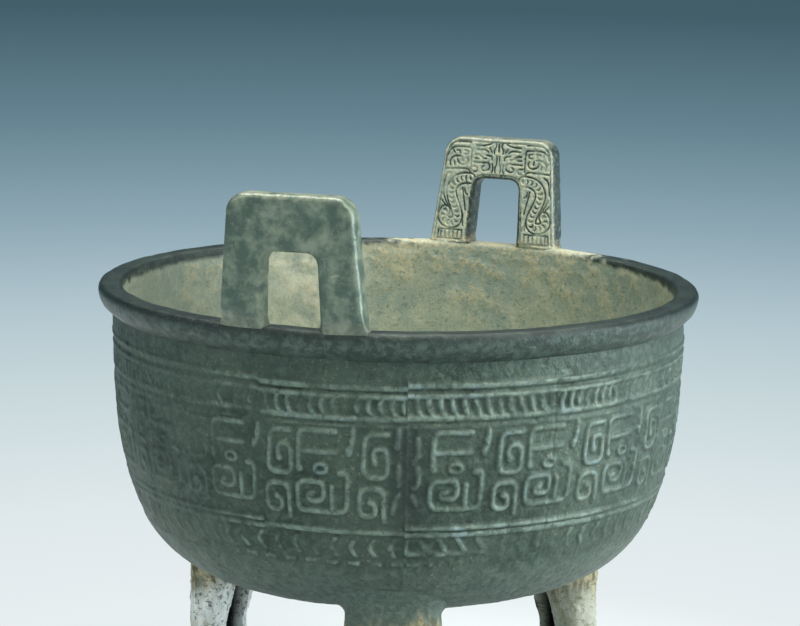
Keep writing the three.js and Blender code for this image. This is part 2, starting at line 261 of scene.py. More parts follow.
def close_up(mesh, gap):
    """Merges points within a gap in mm after bending, closes open ends, turns faces outwards."""
    bm = bmesh.new()
    bm.from_mesh(mesh)
    bmesh.ops.remove_doubles(bm, verts=bm.verts, dist=gap * MM)
    bmesh.ops.dissolve_degenerate(bm, dist=1e-6, edges=bm.edges)
    bmesh.ops.holes_fill(bm, edges=[edge for edge in bm.edges if edge.is_boundary], sides=0)
    bmesh.ops.recalc_face_normals(bm, faces=bm.faces)
    bm.to_mesh(mesh)
    bm.free()


def new_object(name, data):
    made = bpy.data.objects.new(name, data)
    bpy.context.scene.collection.objects.link(made)
    return made


def finish_piece(name, mesh, material, crease):
    """Makes a piece of the vessel, with edges sharper than the crease, in degrees, kept sharp."""
    mesh.shade_smooth()
    mesh.set_sharp_from_angle(angle=math.radians(crease))
    mesh.materials.clear()
    mesh.materials.append(material)
    piece = new_object(name, mesh)
    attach(piece, "root")
    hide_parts("ding_vessel")
    return piece


# ------------------------------------------------------------------ ornament of the main band
# Paths in steps from a column's top left corner: across, down.
FIGURE_EYE = [(2.9 + 0.6 * math.cos(t), 4.2 + 0.45 * math.sin(t)) for t in np.linspace(0, 2 * math.pi, 13)]
BAND_PATHS = {
    "figure": [
        [(4.3, 0.5), (0.75, 0.45), (0.72, 4.3)],
        [(0.75, 2.6), (4.3, 2.55)],
        [(6.0, 0.3), (5.95, 1.5), (5.6, 2.7)],
        [(4.7, 4.6), (5.5, 4.55), (5.35, 8.55), (0.55, 8.55), (0.55, 5.6), (3.15, 5.5), (3.15, 7.5),
         (1.6, 7.5), (1.55, 6.8), (2.1, 6.7)],
        [(3.95, 6.0), (3.95, 8.1)],
    ],
    "spiral": [
        [(3.2, 0.65), (1.1, 0.65), (0.9, 4.9), (3.2, 4.9), (3.15, 1.95), (1.75, 2.05), (1.95, 3.5)],
        [(2.9, 9.3), (2.85, 6.0), (0.6, 6.0), (0.55, 8.8), (2.1, 8.8), (2.1, 7.6), (1.6, 7.3)],
    ],
    "fragment_end": [
        [(0.95, 1.1), (1.1, 2.6), (0.6, 3.6)],
        [(1.0, 4.1), (1.15, 5.2), (1.0, 6.1), (0.65, 6.25)],
        [(0.5, 7.1), (0.9, 8.0)],
    ],
    "fragment_start": [
        [(0.95, 0.1), (0.9, 1.9)],
        [(1.0, 3.75), (1.0, 5.6)],
        [(1.0, 6.6), (0.7, 6.9), (0.5, 8.4)],
    ],
}
# Knobs where a line swells: across, down, radius in mm.
KNOBS = {
    "figure": [(0.85, 4.35, 1.7), (5.6, 2.3, 1.9), (5.85, 1.3, 1.5), (5.0, 4.6, 1.7), (4.1, 2.55, 1.4),
               (4.0, 0.5, 1.4), (2.0, 6.8, 1.4)],
    "spiral": [(2.0, 3.45, 1.7), (1.6, 7.35, 1.6)],
    "fragment_end": [(1.1, 2.9, 1.4), (0.6, 3.4, 1.2)],
    "fragment_start": [(0.85, 1.8, 1.7), (0.95, 6.7, 1.4), (0.55, 8.2, 1.4)],
}
KNOB_HEIGHT = 1.1


def section_columns():
    """The columns of one mould section: kind, where it starts, width, whether in the long run."""
    widths = [("fragment_end", FRAGMENT, True)]
    widths += [("figure", FIGURE, True), ("spiral", SPIRAL, True)] * LONG_RUN_UNITS
    widths += [("figure", FIGURE, True), ("spiral", SHORT_SPIRAL, False),
               ("figure", SHORT_FIGURE, False), ("spiral", SHORT_SPIRAL, False)]
    columns, at = [], 0.0
    for kind, width, long_run in widths:
        columns.append((kind, at, width, long_run))
        at += width
    return columns + [("fragment_start", at, SECTION - at, False)]


def main_band(turn, drop):
    """Height of the cast lines, 0 to 1, at degrees after the seam and mm below the rim."""
    high = np.zeros(turn.shape)
    margin, step = 1.2, [STEP_ACROSS * DEGREE, STEP_DOWN]
    for kind, start, width, long_run in section_columns():
        near = (turn > start - margin) & (turn < start + width + margin)
        near &= (drop > BAND_FROM) & (drop < BAND_TO)
        x = (turn[near] - start) * DEGREE
        y = (drop[near] - BAND_TOP) / (1 if long_run else SHORT_RUN_STRETCH)
        cover = np.zeros(x.shape)
        for path in BAND_PATHS[kind]:
            distance, _ = along_path(x, y, rounded(np.array(path) * step, CORNER_REACH))
            cover = np.maximum(cover, 1 - smooth(0.08, 0.6, distance / LINE_WIDTH))
        if kind == "figure":
            distance, _ = along_path(x, y, np.array(FIGURE_EYE) * step)
            cover = np.maximum(cover, 1 - smooth(0.05, 0.5, distance / LINE_WIDTH))
        for across, down, size in KNOBS[kind]:
            distance = np.hypot(x - across * step[0], y - down * step[1])
            cover = np.maximum(cover, KNOB_HEIGHT * (1 - smooth(0.2, 1.15, distance / size)))
        high[near] = np.maximum(high[near], cover)
    return high


# Each pattern block's ticks: spacing, how far they bow, how far they lean, in degrees.
ROPE_BLOCKS = [(2.2, 0.4, 0.5), (2.0, 0.7, -0.2), (3.4, 1.1, 0.1), (2.2, 0.75, 0.12)]
ROPE_MIDDLE, ROPE_HALF, ROPE_GAP = 25.9, 3.2, 0.4


def rope_belt(turn, drop):
    """Curved ticks between two lines; each pattern block bends them its own way."""
    high = np.zeros(turn.shape)
    edges = [0, *BLOCK_JOINTS, SECTION]
    rise = (drop - ROPE_MIDDLE) / ROPE_HALF
    for (pitch, bow, lean), start, end in zip(ROPE_BLOCKS, edges[:-1], edges[1:]):
        phase = (turn - start + bow * (1 - rise ** 2) - lean * rise) / pitch
        tick = from_whole(phase) * pitch * DEGREE
        stroke = (1 - smooth(0.25, 1.7, tick)) * (1 - smooth(0.8, 1.1, np.abs(rise)))
        high = np.where((turn >= start + ROPE_GAP) & (turn < end - ROPE_GAP), stroke, high)
    return high


CHEVRON_MIDDLE, CHEVRON_HALF, CHEVRON_PITCH = 75.8, 3.6, 3.9
CHEVRON_BOW, CHEVRON_LEAN = 1.1, 1.3
# the strokes beside a seam, in degrees after it, and the drop of the line under them
SLANTED_FROM, SLANTED_TO, SLANTED_LINE = 0.8, 17, 77.9


def chevron_belt(turn, drop):
    """Pointed strokes like < in a row, the lower half flattened to a line beside the seam."""
    rise = (drop - CHEVRON_MIDDLE) / CHEVRON_HALF
    tick, slanted_tick = (from_whole((turn - shift) / CHEVRON_PITCH) * CHEVRON_PITCH * DEGREE
                          for shift in (CHEVRON_BOW * np.abs(rise), CHEVRON_LEAN * rise))
    pointed = (1 - smooth(0.6, 1.55, tick)) * (1 - smooth(0.9, 1.15, np.abs(rise)))
    slanted = (1 - smooth(0.6, 1.55, slanted_tick)) * (1 - smooth(0.6, 0.9, np.abs(rise + 0.35)))
    slanted = np.maximum(slanted, bump_at(drop, SLANTED_LINE, 1.5))
    faded = 1 - 0.65 * plateau(15, 18, 33, 37, turn)
    return np.where((turn > SLANTED_FROM) & (turn < SLANTED_TO), slanted, pointed) * faded


DASH_DROP, DASH_PITCH = 82.0, 4.5


def dash_row(turn, drop):
    """A row of short dashes under the chevrons, worn faint for part of the way."""
    along = (turn / DASH_PITCH - np.floor(turn / DASH_PITCH)) * DASH_PITCH
    dash = bump_at(drop, DASH_DROP, 1.5) * plateau(0.1, 0.6, 2.8, 3.3, along)
    return dash * (1 - 0.7 * plateau(12, 20, 60, 80, turn))


# Raised lines that part the belts: drop in the first three blocks and in the last, width, height.
BELT_LINES = [(18.4, 19.4, 1.5, 1), (21.9, 22.4, 1.3, 1), (29.4, 29.9, 1.5, 1), (32.5, 32.5, 1.2, 0.5),
              (68.2, math.inf, 1.2, 1), (70.6, 70.0, 1.4, 1)]


def seam_lines(turn, drop):
    """Raised lines that part the belts; they jump a little where the last block begins."""
    first_blocks = turn < BLOCK_JOINTS[-1]
    return np.maximum.reduce([
        high * bump_at(drop, np.where(first_blocks, first, last), width)
        for first, last, width, high in BELT_LINES])


def wear(azimuth, drop):
    """How much of the casting's relief is left: worn faint on the left, sharp in front."""
    patchy = 0.86 + 0.28 * grain(on_drum(azimuth, drop), 21, 2)
    left = 1 - 0.62 * smooth(5, 14, 243.5 - azimuth % 360) * smooth(150, 175, azimuth % 360)
    right = 1 - 0.3 * smooth(311, 322, azimuth % 360)
    return np.clip(patchy * left * right, 0.12, 1.05)


SECTION_BACK = 2.3
# shares down a section's front, and the places on the belly that they are bent to
FRONT_SHARES = [0, 1 / SECTION_ROWS, 9 / SECTION_ROWS, 1]
FRONT_ARCS = [arc_at_drop(9.6), arc_at_drop(17.2), arc_at_drop(84.5), arc_at_radius(BOTTOM_DISC)]


def section_blank():
    """A flat block whose front is finely divided and whose back stays coarse."""
    bm = sheet(SECTION_COLUMNS, SECTION_ROWS)
    made = bmesh.ops.extrude_face_region(bm, geom=list(bm.faces))
    moved = [item for item in made["geom"] if isinstance(item, bmesh.types.BMVert)]
    bmesh.ops.translate(bm, verts=moved, vec=(0, 0, 1))
    edges = [edge for edge in bm.edges if all(v.co.z > 0.5 for v in edge.verts)]
    bmesh.ops.subdivide_edges(bm, edges=edges, cuts=SECTION_CUTS, use_grid_fill=True)
    # the back follows the turn of the bottom in short steps
    low = [edge for edge in bm.edges if all(v.co.z < 0.5 and v.co.y > 8.9 / SECTION_ROWS for v in edge.verts)
           and abs(edge.verts[0].co.x - edge.verts[1].co.x) < 1e-6]
    bmesh.ops.subdivide_edges(bm, edges=low, cuts=SECTION_BACK_CUTS, use_grid_fill=True)
    return sheet_mesh(bm, "belly_blank")


def front_relief(azimuth, turn, arc, share):
    """A section's outside: how far it stands out in mm, and how much of it is cast line."""
    drop = np.interp(arc, ARC, ARC_DROP)
    place = on_belly(azimuth, arc, 0)
    patchy = grain(place, 5.5, 3)
    band = main_band(turn, drop) * np.clip(0.92 + 0.3 * patchy, 0.4, 1.15)
    small = np.maximum(chevron_belt(turn, drop), dash_row(turn, drop)) * 0.75
    belts = np.maximum(rope_belt(turn, drop) * 0.85, small) * np.clip(0.8 + 0.8 * patchy, 0.2, 1.1)
    lines = seam_lines(turn, drop) * np.clip(0.85 + 0.45 * patchy, 0.35, 1.1)
    covered = np.maximum.reduce([band, belts, lines]) * wear(azimuth, drop)
    sunk = -0.35 * plateau(17.5, 19, 83, 85, drop)
    joint = -0.2 * sum(bump_at(turn, at, 0.45) for at in BLOCK_JOINTS) * plateau(17, 19, 82, 84, drop)
    fin = 0.3 * (bump_at(turn, 0, 0.5) + bump_at(turn, SECTION, 0.5)) * plateau(12, 30, 88, 96, drop)
    rough = 0.12 * grain(place, 2.4, 3) - 0.25 * smooth(0.3, 0.9, patchy)
    edge = np.minimum(smooth(0, 0.01, share), smooth(0, 0.02, 1 - share))
    relief = (covered * LINE_HEIGHT + sunk + (joint + fin + rough) * edge) * edge
    return relief + dents(azimuth, drop), covered


def belly_section(name, seam, blank, material):
    """One mould section of the outside, from under the lip to the disc under the bottom."""
    mesh = blank.copy()
    mesh.name = name
    chart = read_points(mesh)
    turn = chart[:, 0] * SECTION
    arc = np.interp(chart[:, 1], FRONT_SHARES, FRONT_ARCS)
    azimuth, drop = seam + turn, np.interp(arc, ARC, ARC_DROP)
    front = chart[:, 2] > 0.5
    relief, covered = np.full(len(turn), -SECTION_BACK), np.zeros(len(turn))
    relief[front], covered[front] = front_relief(azimuth[front], turn[front], arc[front], chart[front, 1])
    write_points(mesh, on_belly(azimuth, arc, relief))
    # dark earth is left beside the seams; the bottom is bare of ornament and paler, partly painted light standing
    # in for light thrown up from the bright floor
    beside_seam = np.maximum(1 - smooth(1, 6, turn), smooth(SECTION - 5, SECTION - 1, turn))
    write_layers(mesh, relief=covered, smudge=beside_seam * plateau(30, 36, 62, 82, drop),
                 low=smooth(82, 88, drop))
    close_up(mesh, gap=0.001)
    return finish_piece(name, mesh, material, crease=50)


# ------------------------------------------------------------------ the bowl
MOUTH = RIM_RADIUS - RIM_WIDTH
# the lip's outline from inside the mouth to under the lip: radius, drop
LIP = [(MOUTH, 5.2), (MOUTH, 1.5), (MOUTH + 0.35, 0.55), (MOUTH + 1.3, 0.1), (MOUTH + 2.6, 0), (108.0, 0.0),
       (109.1, 0.45), (109.7, 1.4), (109.9, 2.6), (109.4, 5.2), (108.3, 7.4), (106.4, 9.2), (104.6, 10.4),
       (103.7, 11.4)]
LIP_STARTS, SECTIONS_START = 9, 14     # drops inside and outside where the lip gives way to the wall
UNDER_SECTIONS = 1.3                   # how far the bowl's outside keeps below its sections
# how the rows are shared out: inside, lip, wall under the sections, bottom disc
ROW_SHARES = [0, 0.62, 0.8, 0.9, 1]


def bowl_profile():
    """Radius, height and zone down the closed profile: inside pole, up the wall, over the lip."""
    disc = np.linspace(BOTTOM_DISC, 0, 30)
    stretches = [
        belly_line(np.linspace(ARC[-1], arc_at_drop(LIP_STARTS), 700), -WALL),
        (np.array([radius for radius, _ in LIP]), RIM_HEIGHT - np.array([drop for _, drop in LIP])),
        belly_line(np.linspace(arc_at_drop(SECTIONS_START), arc_at_radius(BOTTOM_DISC), 200), -UNDER_SECTIONS),
        (disc, belly_line(arc_at_radius(disc), 0)[1]),
    ]
    radius, height = (np.concatenate(line) for line in zip(*stretches))
    radius[0] = radius[-1] = 0
    run = np.concatenate([[0], np.cumsum(np.hypot(np.diff(radius), np.diff(height)))])
    marks = run[[0, *(np.cumsum([len(line) for line, _ in stretches]) - 1)]]
    wanted = np.interp(np.linspace(0, 1, BOWL_ROWS + 1), ROW_SHARES, marks)
    zone = np.interp(wanted, marks, [0, 1, 2, 3, 4])
    return np.interp(wanted, run, radius), np.interp(wanted, run, height), zone


def bowl_crust(points, azimuth, height, zone):
    """The corrosion inside: how far it covers the metal, and how thick its lumps are."""
    # it climbs to the rim by the far handle and stops lower elsewhere
    edge = 1.15 + 0.08 * beside(azimuth, 75, 42)
    inside = 1 - smooth(edge, edge + 0.06, zone + 0.04 * grain(points, 6, 3))
    # thickest high on the wall by the far handle, thin where water stood
    far_wall = beside(azimuth, 60, 30) + beside(azimuth, 112, 14)
    high_crust = smooth(150, 180, height) * (0.4 + 0.6 * far_wall)
    lumps = smooth(0.05, 0.75, grain(points, 7, 4) + 0.5 * grain(points, 19, 2) + 0.35 * high_crust)
    return inside, np.clip(lumps * (0.35 + 0.65 * high_crust + 0.25 * smooth(92, 135, height)), 0, 1)


def bowl(material):
    """Inside, lip and bottom in one closed skin, which the mould sections lie on."""
    mesh = sheet_mesh(sheet(BOWL_COLUMNS, BOWL_ROWS), "bowl")
    chart = read_points(mesh)
    rows = np.linspace(0, 1, BOWL_ROWS + 1)
    radius, height, zone = (np.interp(chart[:, 1], rows, line) for line in bowl_profile())
    turn = chart[:, 0] * 2 * math.pi
    azimuth = np.degrees(turn) % 360
    radial, up = np.stack([np.cos(turn), np.sin(turn), np.zeros(len(turn))], -1), np.array([0, 0, 1])
    points = radius[:, None] * radial + height[:, None] * up
    inside, crust = bowl_crust(points, azimuth, height, zone)
    wall_in = inside * (0.6 * crust + 0.16 * grain(points, 2.6, 3)) * (1 - smooth(1.1, 1.22, zone))
    # rim and lip: hand-dressed, with faint dents
    rim_uneven = 0.22 * grain(points, 17, 2) + 0.05 * grain(points, 2.2, 3)
    lowered = plateau(0.98, 1.02, 1.9, 2.0, zone) * np.clip(rim_uneven - 0.16, -0.6, 0.0)
    disc_dents = smooth(3.0, 3.02, zone) * dents(azimuth, np.full(len(turn), BELLY_DEPTH))
    # inside, the crust grows toward the hollow: off the wall and up from the floor
    slope = np.clip((height - 84) / 30, 0, 1)
    grow = -radial * slope[:, None] + up * (1 - slope)[:, None]
    points = points + grow * wall_in[:, None]
    points = points + radial * (lowered * smooth(1.3, 1.6, zone))[:, None]
    points[:, 2] += lowered * (1 - smooth(1.5, 1.8, zone)) - disc_dents
    write_points(mesh, points)
    by_handle = beside(azimuth, 66, 26) * plateau(1.15, 1.25, 1.45, 1.6, zone)
    caked = smooth(0.35, 0.6, by_handle + 0.35 * grain(points, 5, 4))
    # painted shade: greener and darker at both ends of the mouth, most of all on the left, standing in for the
    # shade on the side walls, with some real green stain at the right end
    on_wall = smooth(84, 110, height)
    ends_shade_and_stain = 1.35 * beside(azimuth, 160, 36) + 0.6 * beside((azimuth + 180) % 360, 185, 30)
    write_layers(mesh, crust=np.clip(np.maximum(crust * inside, caked), 0, 1), inside=np.maximum(inside, caked),
                 outer_face=smooth(1.56, 1.68, zone), damp=ends_shade_and_stain * on_wall,
                 pale=beside(azimuth, 110, 12) * on_wall)
    close_up(mesh, gap=0.02)
    return finish_piece("bowl", mesh, material, crease=60)


# ------------------------------------------------------------------ the handles
# Grooves of a handle's ornament, one half: mm from the middle, mm above the rim.
BODY_COIL = [(11.4, 25.4), (14.5, 25.4), (17.8, 23.8), (19.4, 20.6), (18.6, 17.2), (17.0, 14.0), (15.7, 10.8),
             (16.0, 8.0), (18.2, 7.0), (21.2, 7.8), (22.3, 10.0), (21.2, 12.0)]
BODY_HALF, RIB_PITCH = 2.05, 1.95
LEAF_PATHS = [
    [(14.4, 21.4), (13.6, 17.4), (12.6, 12.6)],
    [(13.4, 21.2), (13.2, 19.4), (12.2, 19.0)],
    [(22.4, 18.6), (21.2, 15.6), (19.4, 13.2)],
    [(23.0, 16.2), (21.6, 14.6), (21.0, 13.8)],
    [(20.0, 27.3), (21.8, 26.4), (22.4, 23.6), (22.8, 20.6)],
    [(13.7, 11.2), (13.3, 6.4)],
    [(12.7, 24.0), (12.5, 22.9)],
]
CARTOUCHE = [[(13.4, 4.6), (23.4, 4.6), (23.8, 1.0), (13.4, 1.0), (13.4, 4.6)]]
CARTOUCHE += [[(x, 3.8), (x + 0.1, 1.8)] for x in (15.2, 17.0, 18.8, 20.6, 22.3)]
LINTEL_PATHS = [
    # beside the middle
    [(0.0, 40.6), (0.2, 38.4), (0.0, 36.4)],
    [(1.4, 40.2), (1.0, 38.4), (2.0, 37.2), (1.8, 35.7)],
    [(9.7, 40.4), (3.9, 40.7), (2.9, 39.6), (6.2, 38.6), (9.6, 38.5)],
    [(9.2, 36.9), (5.9, 37.2), (4.3, 36.2)],
    [(9.8, 35.0), (7.9, 35.2), (6.6, 33.7), (5.0, 33.6)],
    [(5.2, 34.9), (2.6, 34.6), (2.6, 33.2)],
    [(0.6, 34.6), (0.5, 31.6), (1.3, 30.0), (1.0, 28.0)],
    [(10.4, 31.8), (3.8, 32.0), (3.2, 29.6), (5.8, 28.5), (7.3, 29.8), (6.0, 30.6)],
    [(10.8, 30.2), (8.7, 30.2), (8.7, 28.3), (10.2, 28.2)],
    [(2.4, 31.4), (1.9, 29.4), (2.6, 28.0)],
    [(9.9, 33.5), (8.3, 33.4)],
    [(3.9, 37.6), (2.9, 36.2)],
    # corner panel
    [(19.2, 39.6), (16.4, 39.8), (12.0, 39.7)],
    [(22.0, 33.6), (20.9, 36.4), (18.6, 37.8), (11.6, 37.7), (11.5, 29.2)],
    [(17.9, 36.2), (16.5, 36.3), (16.6, 35.2)],
    [(14.6, 36.4), (13.0, 36.2), (13.0, 34.8), (14.4, 34.8)],
    [(16.4, 34.0), (19.0, 34.1), (20.8, 32.0), (20.4, 30.2)],
    [(17.5, 32.8), (16.8, 30.8), (13.8, 30.6), (12.7, 32.2), (13.4, 33.4)],
    [(18.7, 31.6), (18.5, 30.4)],
    [(15.1, 32.2), (15.4, 33.6)],
    [(19.5, 36.2), (18.9, 35.3)],
    [(22.2, 28.7), (17.0, 29.0), (13.2, 29.3), (11.8, 28.2), (12.0, 27.2)],
]
BORDER_IN, BORDER_OUT, BORDER_SOFT = 1.7, 1.6, 0.5
GROOVE_HALF, GROOVE_DEPTH = 0.58, 0.64


def groove(distance, full, end):
    """1 in a groove's middle, fading from one distance to another, both in half widths."""
    return 1 - smooth(full, end, distance / GROOVE_HALF)


def face_grooves(x, y, across, span):
    """Depth of the grooves, 0 to 1, on a handle's ornamented face."""
    side = np.abs(x)
    strokes = [groove(along_path(side, y, rounded(path, 1.3))[0], 0.15, 1.15)
               for path in LEAF_PATHS + LINTEL_PATHS]
    strokes += [groove(along_path(side, y, np.array(path))[0], 0.3, 1.1) for path in CARTOUCHE]
    # the coiled creature's body: two outlines with bowed ribs between
    coil = rounded(BODY_COIL, 3)
    coil = coil[np.concatenate([[True], np.hypot(*np.diff(coil, axis=0).T) > 0.01])]
    distance, travelled = along_path(side, y, coil)
    rib = from_whole((travelled + 0.5 * distance ** 2) / RIB_PITCH) * RIB_PITCH
    ribs = (1 - smooth(0.15, 0.66, rib)) * (1 - smooth(0.8, 1.3, distance))
    cut = np.maximum.reduce([*strokes, groove(np.abs(distance - BODY_HALF), 0.25, 1.0), ribs * 0.9])
    # the plain border, and the line that parts it from the ornament
    edge_in, edge_out = across * span, (1 - across) * span
    within = (smooth(BORDER_IN, BORDER_IN + BORDER_SOFT, edge_in)
              * smooth(BORDER_OUT, BORDER_OUT + BORDER_SOFT, edge_out))
    border = np.maximum(groove(np.abs(edge_in - BORDER_IN), 0.25, 1.0),
                        groove(np.abs(edge_out - BORDER_OUT), 0.25, 1.0)) * smooth(0.4, 1.2, y)
    return np.maximum(cut * within * smooth(0.3, 0.8, y), border * 0.85)


# how half an arch is shared out, from the crown's middle: crown, corner, jamb
CROWN_ENDS, CORNER_ENDS = 0.24, 0.42
CROWN_STEPS, CORNER_STEPS = 60, 40


def half_arch(foot, top, height, corner):
    """Half of an arch from the crown's middle down to the root: shares 0 to 1, and x, z there."""
    slope = (foot - top) / 2 / height

    def half_at(z):
        return foot / 2 - slope * z

    crown = np.stack([np.linspace(0, half_at(height) - corner, CROWN_STEPS), np.full(CROWN_STEPS, height)], -1)
    turn = np.linspace(math.pi / 2, 0, CORNER_STEPS)
    centre = (half_at(height - corner) - corner, height - corner)
    arc = np.stack([centre[0] + corner * np.cos(turn), centre[1] + corner * np.sin(turn)], -1)
    z = np.linspace(height - corner, -PLATE_ROOT, CROWN_STEPS)
    shares = np.concatenate([
        np.linspace(0, CROWN_ENDS, CROWN_STEPS), np.linspace(CROWN_ENDS, CORNER_ENDS, CORNER_STEPS),
        np.linspace(CORNER_ENDS, 1, CROWN_STEPS)])
    return shares, np.concatenate([crown, arc, np.stack([half_at(z), z], -1)])


def plate_section(slots, span, edge_round):
    """Round a plate's section: distance from the opening, depth through the plate, which face.

    Face 0 looks at the bowl's middle, 1 up and outward along the arch, 2 away, 3 at the opening.
    """
    starts = np.cumsum([0, *(cells + HANDLE_CORNER_CELLS for cells in HANDLE_FACE_CELLS)])
    face = np.searchsorted(starts, slots, "right") - 1
    cells, step = np.array(HANDLE_FACE_CELLS)[face], slots - starts[face]
    flat = np.clip(step / cells, 0, 1)
    bend = np.clip((step - cells) / HANDLE_CORNER_CELLS, 0, 1) * math.pi / 2
    length = np.where(face % 2 == 0, span, PLATE_THICK)
    run = edge_round + (length - 2 * edge_round) * flat + edge_round * np.sin(bend)
    off = edge_round * (1 - np.cos(bend))
    from_opening = np.choose(face, [run, span - off, span - run, off])
    through = np.choose(face, [off, run, PLATE_THICK - off, PLATE_THICK - run])
    return from_opening, through, face


def handle(name, spec, material, edge_round, ornament, worn):
    """An upright loop handle: a bowed plate with an opening, ornamented toward the bowl."""
    around = sum(HANDLE_FACE_CELLS) + HANDLE_CORNER_CELLS * len(HANDLE_FACE_CELLS)
    mesh = sheet_mesh(sheet(around, HANDLE_ALONG), name)
    chart = read_points(mesh)
    run = chart[:, 1] * 2 - 1
    share, sign = np.abs(run), np.where(run < 0, -1, 1)
    outer_shares, outer = half_arch(spec["foot"], spec["top"], spec["height"], PLATE_CORNER)
    inner_shares, inner = half_arch(**OPENING)
    outer_x, outer_z = (np.interp(share, outer_shares, line) for line in outer.T)
    inner_x, inner_z = (np.interp(share, inner_shares, line) for line in inner.T)
    span = np.hypot(outer_x - inner_x, outer_z - inner_z)
    slots = np.rint(chart[:, 0] * around).astype(int) % around
    from_opening, through, face = plate_section(slots, span, edge_round)
    across = from_opening / span
    x = sign * (inner_x + (outer_x - inner_x) * across)
    z = inner_z + (outer_z - inner_z) * across
    flat_points = np.stack([x, through, z], -1) + [spec["place"], 0, 0]
    # the ornament, and wear that goes a little into the metal
    cut = np.zeros(len(run))
    shown = (face == 0) & (through < 0.25 * edge_round)
    cut[shown] = face_grooves(x[shown], z[shown], across[shown], span[shown])
    cut *= ornament * (1 - 0.35 * smooth(-0.1, 0.6, grain(flat_points, 9, 2)))
    inward = np.clip(0.17 * grain(flat_points, 3.0, 3) + 0.25 * worn * grain(flat_points, 14, 2), -1, 0.6)
    pitted = 0.5 * worn * smooth(0.35, 0.9, grain(flat_points, 6.5, 2))
    sink = GROOVE_DEPTH * cut + np.maximum(0, inward + 0.05) + pitted
    # at its foot the plate swells into the rim under a crust of corrosion
    swell = np.exp(-np.clip(z, 0, None) / 1.5) * np.clip(0.7 + 0.8 * grain(flat_points, 3.4, 3), 0, 1.5)
    toward, sideways = 1.0 * (face == 0) - (face == 2), sign * (1.0 * (face == 1) - (face == 3))
    through = through + toward * (sink - 0.9 * swell * (face == 0))
    x = x + sideways * (swell * (z < 12) - 0.7 * sink * (z < spec["height"] - 6))
    z = z - 0.8 * sink * smooth(spec["height"] - 5, spec["height"] - 1, z) * (face == 1)
    facing, place = math.radians(spec["facing"]), math.radians(spec["place"])
    outward = np.array([math.cos(facing), math.sin(facing), 0])
    sidelong = np.array([math.sin(facing), -math.cos(facing), 0])
    up = np.array([0, 0, 1]) + outward * math.tan(math.radians(spec["lean"]))
    seat = np.array([PLATE_INNER * math.cos(place), PLATE_INNER * math.sin(place), RIM_HEIGHT])
    points = seat + x[:, None] * sidelong + z[:, None] * up + through[:, None] * outward
    # the feet keep to the rim: they curve with its two edges, and their roots stay in its metal
    reach = np.hypot(points[:, 0], points[:, 1])
    inmost = MOUTH + 0.3 + 1.2 * smooth(0, 1, -z) - 6 * smooth(0, 10, z)
    utmost = RIM_RADIUS - 0.7 - 0.5 * smooth(0, 3, -z) + 6 * smooth(0, 12, z)
    points[:, :2] *= (np.clip(reach, inmost, utmost) / reach)[:, None]
    write_points(mesh, points)
    write_layers(mesh, groove=cut, face=(face == 0) * (through < 0.6), above=np.clip(z / spec["height"], 0, 1))
    close_up(mesh, gap=0.004)
    return finish_piece(name, mesh, material, crease=75)


# ------------------------------------------------------------------ the legs
def station_curves(z):
    """Width, inner face and stand-out of a leg at these heights, eased between its stations."""
    heights, *lines = zip(*LEG_STATIONS)
    fine = np.linspace(0, LEG_TOP, 385)
    window = np.hanning(19)
    eased = (np.convolve(np.pad(np.interp(fine, heights, line), 9, "edge"), window / window.sum(), "valid")
             for line in lines)
    return [np.interp(z, fine, line) for line in eased]


